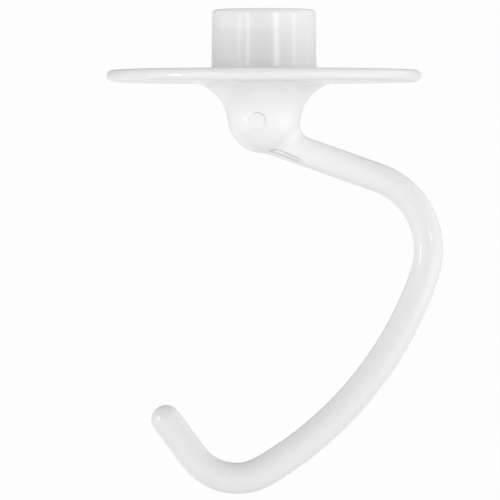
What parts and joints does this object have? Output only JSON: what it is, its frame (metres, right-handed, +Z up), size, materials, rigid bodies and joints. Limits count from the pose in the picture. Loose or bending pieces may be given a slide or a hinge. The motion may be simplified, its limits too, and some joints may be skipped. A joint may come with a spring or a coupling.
{
  "type": "dough hook",
  "caption": "White coated C-shaped dough hook for a stand mixer, with a slotted hub that locks on the drive shaft and a round shield above the bent arm.",
  "frame": {"origin": "centre of the shaft bore's mouth, on top of the hub", "axes": "+Z up along the shaft bore, out of its mouth; the hook lies in the XZ plane with its first bend towards +X; -Y faces the viewer of the picture"},
  "size_m": [0.0952, 0.089, 0.1373],
  "materials": {
    "white_coating": "gloss"
  },
  "bodies": {
    "root": {"dough_hook": "white_coating"}
  },
  "joints": []
}
